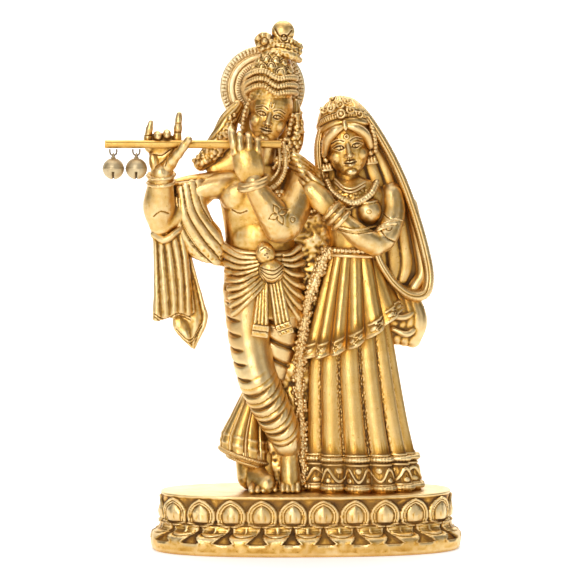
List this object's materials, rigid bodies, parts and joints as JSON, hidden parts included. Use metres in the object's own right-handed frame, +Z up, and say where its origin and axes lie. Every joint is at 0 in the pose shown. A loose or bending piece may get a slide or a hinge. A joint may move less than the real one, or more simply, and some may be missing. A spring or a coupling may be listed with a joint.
{
  "type": "radha krishna statue",
  "caption": "Cast brass devotional statue of a flute player and his consort standing close together on an oval lotus base, with a loose flute and little hanging bells.",
  "frame": {"origin": "middle of the lotus base's flat underside", "axes": "+Z up, the figures face -Y, and +X runs along the base towards the consort"},
  "size_m": [0.1522, 0.0558, 0.225],
  "materials": {
    "cast_brass": "cast, hand chased and polished on its high places, with dark brown patina left in the recesses",
    "flute_brass": "polished rod with fine draw lines",
    "bell_brass": "pressed thin sheet, pale and slightly dull"
  },
  "bodies": {
    "root": {"figures_on_lotus_base": "cast_brass", "flute": "flute_brass", "bell_hook_left": "bell_brass", "bell_hook_right": "bell_brass", "bell_left": "bell_brass", "bell_right": "bell_brass"}
  },
  "joints": []
}
